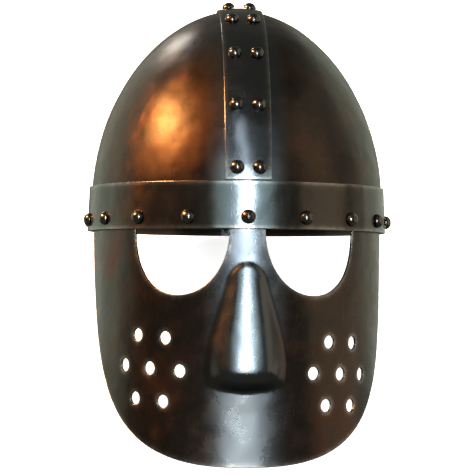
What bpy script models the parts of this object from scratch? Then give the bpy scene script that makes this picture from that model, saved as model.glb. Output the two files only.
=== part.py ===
"""Riveted steel helmet with a full face mask, resting on its rear rim and its chin.

Every plate is drawn flat, with its openings, and then formed round the head. The pieces are
modelled upright, with the wearer facing -Y, +X at the wearer's left and z = 0 at the brow
band's lower edge. One empty then tips them all back to the way the helmet lies by itself.
Lengths are in metres.
"""
import math
from bisect import bisect_right

import bmesh
import bpy
from mathutils import Vector
from mathutils.geometry import delaunay_2d_cdt

# Plates and fits
PLATE = 0.0016
GAP = 0.0003

# Brow band
RIM_WIDTH = 0.206
RIM_DEPTH = 0.245
BAND_HEIGHT = 0.0305
BAND_DRAFT = 0.001

# Skull, in two halves that meet under the comb
SKULL_HEIGHT = 0.154
SPRING_HEIGHT = 0.021
SKULL_POWER = 1.93
SKULL_LIP = 0.001

# Comb band
COMB_WIDTH = 0.030
COMB_RIVET_SPREAD = 0.0145
COMB_RIVET_MARGIN = 0.0078
COMB_RIVET_PITCH = 0.0424

# Face mask
MASK_TUCK = 0.026
MASK_DROP = 0.1525
MASK_REACH = 0.164
MASK_SIDE_POWER = 2.7
MASK_CHIN_POWER = 1.4
CHIN_LEAN = 0.010
CHEEK_NARROWING = 0.0014
CHEEK_FLATTENING = 0.35

# Eye openings
EYE_OFFSET = 0.0485
EYE_WIDTH = 0.073
EYE_DEPTH = 0.0425
EYE_POWER = 2.1
EYE_TOP = 0.0015

# Nose, beaten out of the mask
NOSE_ROOT = 0.0205
NOSE_TIP = 0.0905
NOSE_END = 0.1045
NOSE_RISE = 0.0135
NOSE_STEP = 0.0010
NOSE_STEP_RUN = 0.0035
NOSE_ARCH = 0.011
NOSE_CURL = 0.005
NOSE_FULLNESS = 2.6
NOSE_FLARE = 2.6
NOSE_ROOT_WIDTH = 0.027
NOSE_BASE_WIDTH = 0.059

# Breath holes, seven on each cheek
HOLE_DIAMETER = 0.0085
HOLE_PITCH = 0.0237
HOLE_CLUSTERS = {
    "right": {"along": -0.0705, "below": 0.0900, "turn": -3.0},
    "left": {"along": 0.0730, "below": 0.0932, "turn": -2.0},
}

# Rivets
HEAD_DIAMETER = 0.0094
HEAD_HEIGHT = 0.0042
SHANK_DIAMETER = 0.0040
TAIL_DIAMETER = 0.0066
TAIL_HEIGHT = 0.0012
BROW_RIVETS = 18
BROW_RIVET_HEIGHT = 0.0075

# How finely the plates are faceted
STATIONS_PER_RIVET = 3
RIVET_SIDES = 8
COMB_STATIONS_PER_RIVET = 4
SKULL_ROWS = 6
MASK_ROW = 0.014
EDGE_MARGIN = 0.0045

SKULL_INSET = PLATE + GAP
MASK_INSET = 2 * (PLATE + GAP)
SKULL_SPAN = math.pi / 2 * SKULL_HEIGHT
SEAM = GAP / 2


def smooth(share):
    """Ease from 0 to 1 with a level start and end."""
    share = min(max(share, 0.0), 1.0)
    return share * share * (3 - 2 * share)


def signed_power(value, power):
    return math.copysign(abs(value) ** power, value)


def rim_half_sizes(height, inset):
    """Half width and half depth of the ring of plates at a height, inset from the band's face."""
    lean = BAND_DRAFT * height / BAND_HEIGHT + inset
    return RIM_WIDTH / 2 - lean, RIM_DEPTH / 2 - lean


def plan_radius(azimuth, half_width, half_depth, power=2.0):
    across = abs(math.sin(azimuth) / half_width) ** power
    along = abs(math.cos(azimuth) / half_depth) ** power
    return (across + along) ** (-1 / power)


def plan_point(azimuth, radius, height):
    return Vector((radius * math.sin(azimuth), -radius * math.cos(azimuth), height))


class Arc:
    """Length along a curve, read both ways between the curve's angle and its arc."""

    def __init__(self, curve, start, end, steps=1440):
        self.angles = [start + (end - start) * i / steps for i in range(steps + 1)]
        self.lengths = [0.0]
        points = [curve(angle) for angle in self.angles]
        for before, after in zip(points, points[1:]):
            self.lengths.append(self.lengths[-1] + (after - before).length)
        self.total = self.lengths[-1]

    @staticmethod
    def read(value, known, wanted):
        i = min(max(bisect_right(known, value) - 1, 0), len(known) - 2)
        share = (value - known[i]) / (known[i + 1] - known[i])
        return wanted[i] + share * (wanted[i + 1] - wanted[i])

    def angle_at(self, length):
        return self.read(length, self.lengths, self.angles)

    def length_at(self, angle):
        return self.read(angle, self.angles, self.lengths)


def rim_curve(azimuth):
    return plan_point(azimuth, plan_radius(azimuth, *rim_half_sizes(0, 0)), 0)


RIM = Arc(rim_curve, -math.pi, math.pi)
BROW_PITCH = RIM.total / BROW_RIVETS
STATION_PITCH = BROW_PITCH / STATIONS_PER_RIVET


def band_face(along, height, inset=0.0):
    """The brow band's outer face. along is the arc from the front, positive to +X."""
    azimuth = RIM.angle_at((along + RIM.total / 2) % RIM.total)
    return plan_point(azimuth, plan_radius(azimuth, *rim_half_sizes(height, inset)), height)


def band_flat(point):
    return RIM.length_at(math.atan2(point.x, -point.y)) - RIM.total / 2, point.z


def dome_point(direction, inset):
    """Where a direction from the spring line's centre meets the dome."""
    half_width, half_depth = rim_half_sizes(SPRING_HEIGHT, inset)
    level = math.hypot(direction.x / half_width, direction.y / half_depth)
    rise = direction.z / (SKULL_HEIGHT - SPRING_HEIGHT + SKULL_INSET - inset)
    reach = (level ** SKULL_POWER + rise ** SKULL_POWER) ** (-1 / SKULL_POWER)
    return direction * reach + Vector((0, 0, SPRING_HEIGHT))


def skull_face(u, v, inset=SKULL_INSET):
    """The skull's outer face. (u, v) is its flat pattern, with the crown at (0, 0)."""
    azimuth = math.atan2(u, -v)
    below = math.hypot(u, v) - SKULL_SPAN
    if below >= 0:
        height = SPRING_HEIGHT - below
        return plan_point(azimuth, plan_radius(azimuth, *rim_half_sizes(height, inset)), height)
    elevation = -below / SKULL_SPAN * math.pi / 2
    direction = plan_point(azimuth, math.cos(elevation), math.sin(elevation))
    return dome_point(direction, inset)


def skull_flat(point):
    azimuth = math.atan2(point.x, -point.y)
    rise = point.z - SPRING_HEIGHT
    elevation = math.atan2(rise, math.hypot(point.x, point.y))
    reach = SKULL_SPAN - (rise if rise < 0 else elevation * SKULL_SPAN / (math.pi / 2))
    return reach * math.sin(azimuth), -reach * math.cos(azimuth)


def comb_foot_angle():
    """Angle, seen from the side, at which the comb ends just above the brow band."""
    return math.atan2(BAND_HEIGHT + 2 * GAP - SPRING_HEIGHT, RIM_DEPTH / 2 - SKULL_INSET)


def crest_curve(angle):
    return dome_point(Vector((0, -math.cos(angle), math.sin(angle))), SKULL_INSET)


CREST = Arc(crest_curve, comb_foot_angle(), math.pi - comb_foot_angle())


def comb_face(across, along, inset=0.0):
    """The comb band's outer face. along is the arc from its front foot."""
    angle = CREST.angle_at(along)
    side = 0.0
    for _ in range(4):
        point = dome_point(Vector((side, -math.cos(angle), math.sin(angle))), inset)
        side = across / math.hypot(point.y, point.z - SPRING_HEIGHT)
    return point


def comb_flat(point):
    return point.x, CREST.length_at(math.atan2(point.z - SPRING_HEIGHT, -point.y))


def nose_half_width(below):
    share = smooth((below - NOSE_ROOT) / (NOSE_TIP - NOSE_ROOT))
    return (NOSE_ROOT_WIDTH + (NOSE_BASE_WIDTH - NOSE_ROOT_WIDTH) * share) / 2


def nose_rise(along, below):
    """How far the nose stands out: an arched step, a long ramp and a round, curled tip."""
    share = abs(along) / nose_half_width(below)
    if share >= 1 or not NOSE_ROOT < below < NOSE_END:
        return 0.0
    root = below - NOSE_ROOT - NOSE_ARCH * share ** 2
    tip = below - NOSE_TIP + NOSE_CURL * share ** 2
    step = NOSE_STEP * smooth(root / NOSE_STEP_RUN)
    ramp = min(max(root / (NOSE_TIP - NOSE_ROOT), 0.0), 1.0)
    fall = min(max(tip / (NOSE_END - NOSE_TIP), 0.0), 1.0)
    crest = (step + (NOSE_RISE - NOSE_STEP) * ramp) * math.cos(math.pi / 2 * fall)
    return crest * math.cos(math.pi / 2 * share ** NOSE_FULLNESS) ** NOSE_FLARE


def mask_face(along, height):
    """The mask's outer face, which follows the rim and flattens towards the chin."""
    azimuth = RIM.angle_at(along + RIM.total / 2)
    lower = smooth(-height / MASK_DROP)
    half_width, half_depth = rim_half_sizes(max(height, 0), MASK_INSET)
    half_width -= CHEEK_NARROWING * lower
    half_depth -= CHIN_LEAN * lower
    radius = plan_radius(azimuth, half_width, half_depth, 2 + CHEEK_FLATTENING * lower)
    point = plan_point(azimuth, radius, height)
    point.y -= nose_rise(along, -height)
    return point


def face_normal(face, a, b, step=0.0002):
    """Outward normal of a formed face at a point of its flat pattern."""
    along_a = face(a + step, b) - face(a - step, b)
    along_b = face(a, b + step) - face(a, b - step)
    normal = along_a.cross(along_b).normalized()
    centre = Vector((0, 0, min(face(a, b).z, SPRING_HEIGHT)))
    return normal if normal.dot(face(a, b) - centre) > 0 else -normal


def inside(point, loop):
    """True if a flat point lies within a closed loop."""
    x, y = point
    crossings = 0
    for (x1, y1), (x2, y2) in zip(loop, loop[1:] + loop[:1]):
        if (y1 > y) != (y2 > y) and x < x1 + (x2 - x1) * (y - y1) / (y2 - y1):
            crossings += 1
    return crossings % 2 == 1


def clear_of(point, loops):
    for loop in loops:
        for corner in loop:
            if math.dist(point, corner) < EDGE_MARGIN:
                return False
    return True


def flat_triangles(outline, openings, creases, fill):
    """Triangulate a flat plate between its outline and its openings, along its creases."""
    loops = [outline] + openings
    points = []
    edges = []
    for loop in loops:
        start = len(points)
        points += loop
        edges += [(start + i, start + (i + 1) % len(loop)) for i in range(len(loop))]
    for crease in creases:
        edges += [(len(points) + i, len(points) + i + 1) for i in range(len(crease) - 1)]
        points += crease
    points += [point for point in fill if inside(point, outline) and clear_of(point, loops)]
    result = delaunay_2d_cdt([Vector(point) for point in points], edges, [], 0, 1e-7)
    flat = [tuple(point) for point in result[0]]
    kept = []
    for triangle in result[2]:
        middle = tuple(sum(flat[i][axis] for i in triangle) / 3 for axis in (0, 1))
        if inside(middle, outline) and not any(inside(middle, loop) for loop in openings):
            kept.append(tuple(triangle))
    return flat, kept


def boundary_edges(triangles):
    count = {}
    for a, b, c in triangles:
        for edge in ((a, b), (b, c), (c, a)):
            key = tuple(sorted(edge))
            count[key] = count.get(key, 0) + 1
    return [edge for edge, uses in count.items() if uses == 1]


def plate_mesh(name, face, outline, openings, creases, fill=(), place=None, joined=()):
    """Form a flat plate on a face and give it its thickness, inwards.

    place moves each finished point. joined holds the two ends that meet in a closed ring.
    """
    place = place or (lambda point: point)
    flat, triangles = flat_triangles(outline, openings, creases, fill)
    shell = bmesh.new()
    outer = []
    inner = []
    for a, b in flat:
        point = face(a, b)
        outer.append(shell.verts.new(place(point)))
        inner.append(shell.verts.new(place(point - PLATE * face_normal(face, a, b))))
    for a, b, c in triangles:
        shell.faces.new((outer[a], outer[b], outer[c]))
        shell.faces.new((inner[c], inner[b], inner[a]))
    for a, b in boundary_edges(triangles):
        if any(max(abs(flat[i][0] - end) for i in (a, b)) < 1e-6 for end in joined):
            continue
        shell.faces.new((outer[a], outer[b], inner[b], inner[a]))
    bmesh.ops.remove_doubles(shell, verts=shell.verts, dist=1e-6)
    bmesh.ops.recalc_face_normals(shell, faces=shell.faces)
    return finished_mesh(name, shell)


def finished_mesh(name, shell):
    mesh = bpy.data.meshes.new(name)
    shell.to_mesh(mesh)
    shell.free()
    mesh.shade_smooth()
    mesh.set_sharp_from_angle(angle=math.radians(35))
    return mesh


def add_object(name, mesh, material, parent):
    if not mesh.materials:
        mesh.materials.append(material)
    piece = bpy.data.objects.new(name, mesh)
    bpy.context.scene.collection.objects.link(piece)
    piece.parent = parent
    return piece


def metal(name, colour, roughness):
    material = bpy.data.materials.new(name)
    material.use_nodes = True
    shader = material.node_tree.nodes["Principled BSDF"]
    shader.inputs["Base Color"].default_value = (*colour, 1)
    shader.inputs["Roughness"].default_value = roughness
    shader.inputs["Metallic"].default_value = 1.0
    return material


def skull_steel():
    return metal("oil_blackened_steel_skull", (0.075, 0.055, 0.045), 0.38)


def band_steel():
    return metal("oil_blackened_steel_band", (0.10, 0.085, 0.075), 0.32)


def mask_steel():
    return metal("oil_blackened_steel_mask", (0.085, 0.062, 0.052), 0.36)


def rivet_steel():
    return metal("polished_steel_rivet", (0.14, 0.125, 0.115), 0.22)


def circle(a, b, diameter, sides):
    turns = [2 * math.pi * i / sides for i in range(sides)]
    return [(a + diameter / 2 * math.cos(t), b + diameter / 2 * math.sin(t)) for t in turns]


def stations(first, last):
    """Arcs round the rim between two limits, with one at every rivet."""
    low = math.ceil(first / STATION_PITCH - 1e-6)
    high = math.floor(last / STATION_PITCH + 1e-6)
    return [i * STATION_PITCH for i in range(low, high + 1)]


class Seat:
    """Where a rivet sits: a point on the outermost face, its normal and its number of plates."""

    def __init__(self, name, face, a, b, plates):
        self.name = name
        self.point = face(a, b)
        self.normal = face_normal(face, a, b)
        self.plates = plates

    def hole(self, layer, flat):
        """The shank's hole in a layer, 0 being the outermost, drawn on its flat pattern."""
        turn = self.normal.to_track_quat("Z", "Y")
        centre = self.point - layer * (PLATE + GAP) * self.normal
        loop = circle(0, 0, SHANK_DIAMETER + 2 * GAP, RIVET_SIDES)
        return [flat(centre + turn @ Vector((x, y, 0))) for x, y in loop]


def uprights(arcs, low, high, openings, draw=lambda along, height: (along, height)):
    """Creases across a plate at each station, broken where an opening lies on the line."""
    creases = []
    for arc in arcs:
        line = [draw(arc, low), draw(arc, high)]
        hit = [loop for loop in openings if inside(draw(arc, BROW_RIVET_HEIGHT), loop)]
        if not hit:
            creases.append(line)
            continue
        for end in line:
            creases.append([end, min(hit[0], key=lambda corner: math.dist(corner, end))])
    return creases


def brow_seats():
    """Rivets round the brow. Those in front also hold the mask."""
    seats = []
    for i in range(BROW_RIVETS):
        along = i * BROW_PITCH
        along -= RIM.total if along > RIM.total / 2 else 0
        plates = 3 if abs(along) + HEAD_DIAMETER / 2 < MASK_REACH else 2
        seats.append(Seat(f"brow_rivet_{i + 1:02d}", band_face, along, BROW_RIVET_HEIGHT, plates))
    return seats


def comb_rivet_arcs():
    """Pairs stepped off from the front foot to the crown, then shared out evenly behind it."""
    steps = int((CREST.total / 2 - COMB_RIVET_MARGIN) // COMB_RIVET_PITCH)
    front = [COMB_RIVET_MARGIN + COMB_RIVET_PITCH * i for i in range(steps + 1)]
    rest = CREST.total - COMB_RIVET_MARGIN - front[-1]
    spaces = max(round(rest / COMB_RIVET_PITCH), 1)
    return front + [front[-1] + rest * (i + 1) / spaces for i in range(spaces)]


def comb_seats(side, name):
    across = side * COMB_RIVET_SPREAD / 2
    arcs = comb_rivet_arcs()
    return [Seat(f"{name}_{i + 1:02d}", comb_face, across, arc, 2) for i, arc in enumerate(arcs)]


def brow_band(seats, parent):
    """The ring round the brow, over the skull's plates and the top of the mask."""
    first = STATION_PITCH - RIM.total / 2
    arcs = stations(first, first + RIM.total)
    outline = [(arc, 0.0) for arc in arcs] + [(arc, BAND_HEIGHT) for arc in reversed(arcs)]

    def flat(point):
        along, height = band_flat(point)
        return first + (along - first) % RIM.total, height

    def place(point):
        return Vector((point.x, point.y, max(point.z, 0.0)))

    openings = [seat.hole(0, flat) for seat in seats]
    creases = uprights(arcs[1:-1], 0.0, BAND_HEIGHT, openings)
    ends = (arcs[0], arcs[-1])
    mesh = plate_mesh("brow_band", band_face, outline, openings, creases, (), place, ends)
    add_object("brow_band", mesh, band_steel(), parent)


def comb_stations():
    """Arcs along the comb from foot to foot, with every rivet midway between two."""
    rivet_arcs = comb_rivet_arcs()
    arcs = [0.0]
    for start, end in zip(rivet_arcs, rivet_arcs[1:]):
        arcs += [start + (end - start) * (i + 0.5) / COMB_STATIONS_PER_RIVET
                 for i in range(COMB_STATIONS_PER_RIVET)]
    return arcs + [CREST.total]


def comb_band(seats, parent):
    """The strip from front to back that covers the joint between the skull's halves."""
    half = COMB_WIDTH / 2
    arcs = comb_stations()
    outline = [(-half, arc) for arc in arcs] + [(half, arc) for arc in reversed(arcs)]
    openings = [seat.hole(0, comb_flat) for seat in seats]
    creases = [[(-half, arc), (0.0, arc), (half, arc)] for arc in arcs]
    creases.append([(0.0, arc) for arc in arcs])
    mesh = plate_mesh("comb_band", comb_face, outline, openings, creases)
    add_object("comb_band", mesh, band_steel(), parent)


def rim_pattern(arc, height):
    """A place near the rim on the skull's flat pattern."""
    azimuth = RIM.angle_at(arc + RIM.total / 2)
    reach = SKULL_SPAN + SPRING_HEIGHT - height
    return reach * math.sin(azimuth), -reach * math.cos(azimuth)


def under_comb(across, arc):
    """The place on the skull's flat pattern below a point of the comb."""
    return skull_flat(comb_face(across, arc, SKULL_INSET))


def skull_joint(notches):
    """The straight edge of half a skull, from back to front, with notches for its rivets."""
    ends = [rim_pattern(arc, SKULL_LIP) for arc in (RIM.total / 2, 0.0)]
    points = ends + [under_comb(0.0, arc) for arc in comb_stations()]
    points = [(0.0, v) for _, v in points]
    for notch in notches:
        points += [(u, v) for u, v in notch if u > SEAM]
        middle = [v for u, v in notch if abs(u) <= SEAM]
        points += [(0.0, v) for v in middle]
    return sorted(points, key=lambda point: -point[1])


def skull_fill():
    """Rows of points from the spring line to the crown, clear of the comb."""
    spots = stations(0.0, RIM.total / 2)
    fill = []
    for row in range(1, SKULL_ROWS):
        share = 1 - row / SKULL_ROWS
        count = max(round(len(spots) * share), 2)
        for i in range(count):
            azimuth = RIM.angle_at((1 + (i + 0.5) / count) * RIM.total / 2)
            reach = SKULL_SPAN * share
            point = (reach * math.sin(azimuth), -reach * math.cos(azimuth))
            if skull_face(*point).x > COMB_WIDTH / 2 + EDGE_MARGIN:
                fill.append(point)
    return fill


def skull_half(name, side, seats, parent):
    """One half of the skull, which stops half a gap short of the middle."""
    def place(point):
        return Vector((side * max(point.x, SEAM), point.y, point.z))

    def mirrored(point):
        return skull_flat(Vector((side * point.x, point.y, point.z)))

    notches = [seat.hole(1, mirrored) for seat in seats if abs(seat.point.x) < SEAM]
    openings = [seat.hole(1, mirrored) for seat in seats if side * seat.point.x > SEAM]
    arcs = stations(0.0, RIM.total / 2)
    lower = [rim_pattern(arc, SKULL_LIP) for arc in arcs[1:-1]]
    half = COMB_WIDTH / 2
    foot = SPRING_HEIGHT + SKULL_SPAN * comb_foot_angle() / (math.pi / 2)
    creases = uprights(arcs[1:-1], SKULL_LIP, foot, openings, rim_pattern)
    creases += [[rim_pattern(arc, height) for arc in arcs] for height in (SPRING_HEIGHT, foot)]
    creases.append([under_comb(half, arc) for arc in comb_stations()])
    creases += [[(0.0, under_comb(0.0, arc)[1]), under_comb(half, arc)]
                for arc in comb_stations()]
    outline = lower + skull_joint(notches)
    mesh = plate_mesh(name, skull_face, outline, openings, creases, skull_fill(), place)
    add_object(name, mesh, skull_steel(), parent)


def mask_outline(steps=44):
    """Straight behind the brow band, then one sweep from side to side round the chin."""
    top = [(arc, MASK_TUCK) for arc in stations(-MASK_REACH, MASK_REACH)]
    top = [(-MASK_REACH, MASK_TUCK)] + top + [(MASK_REACH, MASK_TUCK)]
    sweep = []
    for i in range(steps + 1):
        turn = math.pi * i / steps
        along = MASK_REACH * signed_power(math.cos(turn), 2 / MASK_SIDE_POWER)
        sweep.append((along, -MASK_DROP * math.sin(turn) ** (2 / MASK_CHIN_POWER)))
    return top + sweep


def eye_opening(side, steps=18):
    half = EYE_WIDTH / 2
    loop = [(EYE_OFFSET - half, EYE_TOP), (EYE_OFFSET + half, EYE_TOP)]
    for i in range(steps + 1):
        turn = math.pi * i / steps
        along = EYE_OFFSET + half * signed_power(math.cos(turn), 2 / EYE_POWER)
        loop.append((along, -EYE_DEPTH * math.sin(turn) ** (2 / EYE_POWER)))
    return [(side * along, height) for along, height in loop]


def breath_holes(cluster):
    """One hole with six round it, marked out by hand a little off level."""
    centres = [(0.0, 0.0)]
    for i in range(6):
        turn = math.radians(60 * i + cluster["turn"])
        centres.append((HOLE_PITCH * math.cos(turn), HOLE_PITCH * math.sin(turn)))
    return [circle(cluster["along"] + a, b - cluster["below"], HOLE_DIAMETER, RIVET_SIDES)
            for a, b in centres]


def mask_fill():
    """Rows across the mask, with closer points over the nose."""
    fill = []
    rows = round((MASK_DROP + MASK_TUCK) / MASK_ROW)
    for row in range(1, rows):
        height = -MASK_ROW * row
        for arc in stations(-MASK_REACH, MASK_REACH):
            on_nose = NOSE_ROOT < -height < NOSE_END + EDGE_MARGIN
            if not on_nose or abs(arc) > NOSE_BASE_WIDTH / 2 + EDGE_MARGIN:
                fill.append((arc, height))
    for share in (0.0, 0.08, 0.28, 0.5, 0.72, 0.9, 1.0):
        bend = NOSE_ARCH * (1 - share) - NOSE_CURL * share
        below = NOSE_ROOT + share * (NOSE_TIP - NOSE_ROOT)
        fill += nose_row(below, nose_half_width(below), bend)
    for share in (0.4, 0.75, 1.0):
        below = NOSE_TIP + share * (NOSE_END - NOSE_TIP)
        fill += nose_row(below, nose_half_width(below), -NOSE_CURL)
    return fill


def nose_row(below, half, bend, points=11):
    """Points across the nose, the outer ones lower by the bend."""
    shares = [2 * i / (points - 1) - 1 for i in range(points)]
    return [(half * share, -below - bend * share ** 2) for share in shares]


def face_mask(seats, parent):
    """The face plate, with its eye openings, its nose and the breath holes in the cheeks."""
    openings = [eye_opening(-1), eye_opening(1)]
    for cluster in HOLE_CLUSTERS.values():
        openings += breath_holes(cluster)
    holes = [seat.hole(2, band_flat) for seat in seats if seat.plates == 3]
    creases = uprights(stations(-MASK_REACH, MASK_REACH), EYE_TOP, MASK_TUCK, holes)
    openings += holes
    mesh = plate_mesh("face_mask", mask_face, mask_outline(), openings, creases, mask_fill())
    add_object("face_mask", mesh, mask_steel(), parent)


def turned(name, rings):
    """A closed round shape from (radius, height) rings, top to bottom, ending in a flat."""
    shell = bmesh.new()
    top = shell.verts.new((0, 0, rings[0][1]))
    loops = []
    for radius, height in rings[1:]:
        loop = circle(0, 0, 2 * radius, RIVET_SIDES)
        loops.append([shell.verts.new((x, y, height)) for x, y in loop])
    for i in range(RIVET_SIDES):
        j = (i + 1) % RIVET_SIDES
        shell.faces.new((top, loops[0][i], loops[0][j]))
        for upper, lower in zip(loops, loops[1:]):
            shell.faces.new((upper[i], lower[i], lower[j], upper[j]))
    shell.faces.new(loops[-1][::-1])
    bmesh.ops.recalc_face_normals(shell, faces=shell.faces)
    return finished_mesh(name, shell)


def rivet_mesh(name, plates):
    """A domed head outside, a shank through the plates and a spread tail inside."""
    grip = plates * PLATE + (plates + 1) * GAP
    return turned(name, [
        (0.0, GAP + HEAD_HEIGHT),
        (0.30 * HEAD_DIAMETER, GAP + 0.82 * HEAD_HEIGHT),
        (0.47 * HEAD_DIAMETER, GAP + 0.40 * HEAD_HEIGHT),
        (HEAD_DIAMETER / 2, GAP),
        (SHANK_DIAMETER / 2, GAP),
        (SHANK_DIAMETER / 2, GAP - grip),
        (TAIL_DIAMETER / 2, GAP - grip - TAIL_HEIGHT),
    ])


def rivets(seats, parent):
    """Each rivet is an object of its own and shares its mesh with those of its length."""
    meshes = {plates: rivet_mesh(f"rivet_through_{plates}", plates) for plates in (2, 3)}
    material = rivet_steel()
    for seat in seats:
        piece = add_object(seat.name, meshes[seat.plates], material, parent)
        piece.rotation_mode = "QUATERNION"
        piece.rotation_quaternion = seat.normal.to_track_quat("Z", "Y")
        piece.location = seat.point


def rest_tilt():
    """Angle by which the helmet tips back until its chin and its rear rim are level."""
    chin = []
    for along, height in mask_outline():
        point = mask_face(along, height)
        chin += [point, point - PLATE * face_normal(mask_face, along, height)]
    rim = [band_face(arc, 0.0) for arc in stations(-RIM.total / 2, RIM.total / 2)]
    low, high = 0.0, math.pi / 2
    for _ in range(60):
        tilt = (low + high) / 2
        level = [min(p.z * math.cos(tilt) - p.y * math.sin(tilt) for p in edge)
                 for edge in (chin, rim)]
        low, high = (tilt, high) if level[0] < level[1] else (low, tilt)
    return tilt


def settle(root):
    """Tip the helmet back and stand it on z = 0, with the middle of its box over the origin."""
    root.rotation_euler.x = -rest_tilt()
    bpy.context.view_layer.update()
    corners = [piece.matrix_world @ vertex.co
               for piece in root.children for vertex in piece.data.vertices]
    low = [min(corner[axis] for corner in corners) for axis in range(3)]
    high = [max(corner[axis] for corner in corners) for axis in range(3)]
    root.location = (-(low[0] + high[0]) / 2, -(low[1] + high[1]) / 2, -low[2])
    bpy.context.view_layer.update()


def main():
    for old in list(bpy.data.objects):
        bpy.data.objects.remove(old)
    root = bpy.data.objects.new("helmet", None)
    bpy.context.scene.collection.objects.link(root)
    brow = brow_seats()
    comb = comb_seats(1, "comb_rivet_left") + comb_seats(-1, "comb_rivet_right")
    brow_band(brow, root)
    skull_half("skull_left", 1, brow + comb, root)
    skull_half("skull_right", -1, brow + comb, root)
    comb_band(comb, root)
    face_mask(brow, root)
    rivets(brow + comb, root)
    settle(root)


main()
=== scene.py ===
import math

import bpy
import numpy as np
from mathutils import Matrix, Vector, noise
from mathutils.geometry import delaunay_2d_cdt
from mathutils.kdtree import KDTree


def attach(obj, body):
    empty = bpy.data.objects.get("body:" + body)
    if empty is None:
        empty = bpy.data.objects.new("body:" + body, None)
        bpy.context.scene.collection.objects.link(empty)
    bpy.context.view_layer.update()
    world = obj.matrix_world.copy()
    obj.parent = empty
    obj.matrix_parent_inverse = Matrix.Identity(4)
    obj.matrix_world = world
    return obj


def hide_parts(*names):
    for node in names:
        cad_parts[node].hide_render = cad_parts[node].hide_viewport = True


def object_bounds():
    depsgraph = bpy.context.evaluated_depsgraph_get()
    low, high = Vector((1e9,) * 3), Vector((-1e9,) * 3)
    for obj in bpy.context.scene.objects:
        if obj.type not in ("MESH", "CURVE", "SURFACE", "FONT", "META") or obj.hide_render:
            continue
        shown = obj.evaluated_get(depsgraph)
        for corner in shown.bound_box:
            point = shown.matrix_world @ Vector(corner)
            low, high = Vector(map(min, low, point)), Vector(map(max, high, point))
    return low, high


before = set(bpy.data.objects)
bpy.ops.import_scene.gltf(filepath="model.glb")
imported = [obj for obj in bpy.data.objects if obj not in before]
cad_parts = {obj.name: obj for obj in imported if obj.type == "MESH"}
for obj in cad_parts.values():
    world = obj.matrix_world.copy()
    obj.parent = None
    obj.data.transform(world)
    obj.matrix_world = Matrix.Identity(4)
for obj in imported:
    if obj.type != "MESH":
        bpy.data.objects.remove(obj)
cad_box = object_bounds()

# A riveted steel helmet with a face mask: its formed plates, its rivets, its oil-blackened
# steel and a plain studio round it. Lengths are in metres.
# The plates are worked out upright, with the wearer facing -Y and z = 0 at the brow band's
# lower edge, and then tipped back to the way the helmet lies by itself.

# Plates and fits
PLATE = 0.0016
GAP = 0.0003
EDGE_ROLL = 0.0004

# Brow band
RIM_WIDTH = 0.206
RIM_DEPTH = 0.245
BAND_HEIGHT = 0.0305
BAND_DRAFT = 0.001

# Skull
SKULL_HEIGHT = 0.154
SPRING_HEIGHT = 0.021
SKULL_POWER = 1.93
SKULL_LIP = 0.001

# Comb band
COMB_WIDTH = 0.030
COMB_RIVET_SPREAD = 0.0145
COMB_RIVET_MARGIN = 0.0078
COMB_RIVET_PITCH = 0.0424

# Face mask
MASK_TUCK = 0.026
MASK_DROP = 0.1525
MASK_REACH = 0.164
MASK_SIDE_POWER = 2.7
MASK_CHIN_POWER = 1.4
CHIN_LEAN = 0.010
CHEEK_NARROWING = 0.0014
CHEEK_FLATTENING = 0.35

# Eye openings
EYE_OFFSET = 0.0485
EYE_WIDTH = 0.073
EYE_DEPTH = 0.0425
EYE_POWER = 2.1
EYE_TOP = 0.0015

# Nose
NOSE_ROOT = 0.0205
NOSE_TIP = 0.0905
NOSE_END = 0.1045
NOSE_RISE = 0.0135
NOSE_STEP = 0.0010
NOSE_STEP_RUN = 0.0035
NOSE_ARCH = 0.011
NOSE_CURL = 0.005
NOSE_FULLNESS = 2.6
NOSE_FLARE = 2.6
NOSE_ROOT_WIDTH = 0.027
NOSE_BASE_WIDTH = 0.059

# Breath holes: middle of the cluster along the rim and below it, and its turn in degrees
HOLE_DIAMETER = 0.0085
HOLE_PITCH = 0.0237
HOLE_CLUSTERS = ((-0.0705, 0.0900, -3.0), (0.0730, 0.0932, -2.0))

# Rivets
HEAD_DIAMETER = 0.0094
HEAD_HEIGHT = 0.0042
SHANK_DIAMETER = 0.0040
TAIL_DIAMETER = 0.0066
TAIL_HEIGHT = 0.0012
RIVET_SIZE_SPREAD = 0.05
RIVET_LEAN = math.radians(2.0)
BROW_RIVETS = 18
BROW_RIVET_HEIGHT = 0.0075

# The hammer's marks in the plates: how deep and how far apart, and the finer ones among them
BEATING_DEPTH = 0.00016
BEATING_SIZE = 0.030
FINE_BEATING_SHARE = 0.4
FINE_BEATING_SCALE = 2.7

# Patterns in the blackened steel
OIL_CLOUD = 0.035
OIL_MOTTLE = 0.005
TARNISH_PATCH = 0.06
TARNISH_SPREAD = 0.14
TARNISH_STRENGTH = 1.4
TARNISH_DULLNESS = 0.14
WAX_SMEAR = 0.018
HAMMER_MARK = 0.011
HAMMER_MARK_DEPTH = 0.00022
GRAIN = 0.0012
GRAIN_DEPTH = 0.000035
SCRATCH_SPACING = 0.0008
SCRATCH_LENGTH = 0.022
SCRATCH_DEPTH = 0.00001
SCRATCH_SHINE = 0.16
SCRATCH_TURNS = (12, -28, 74)
EDGE_WEAR_REACH = 0.0010

# The middle strip that is painted lighter as a painted highlight: how far it is fully lighter from
# the middle, and where it has faded out
PAINTED_HIGHLIGHT_STRIP = 0.013
PAINTED_HIGHLIGHT_STRIP_END = 0.028
PAINTED_HIGHLIGHT_STEEL = "#505558"

# Patterns in the rivets' steel
FORGE_MOTTLE = 0.0025
HAMMER_FLAT = 0.0022
HAMMER_FLAT_DEPTH = 0.0001

# How the helmet lies
REST_TILT = math.radians(33.66823)
REST_PLACE = Vector((0.0, 0.017836, 0.067912))

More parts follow.
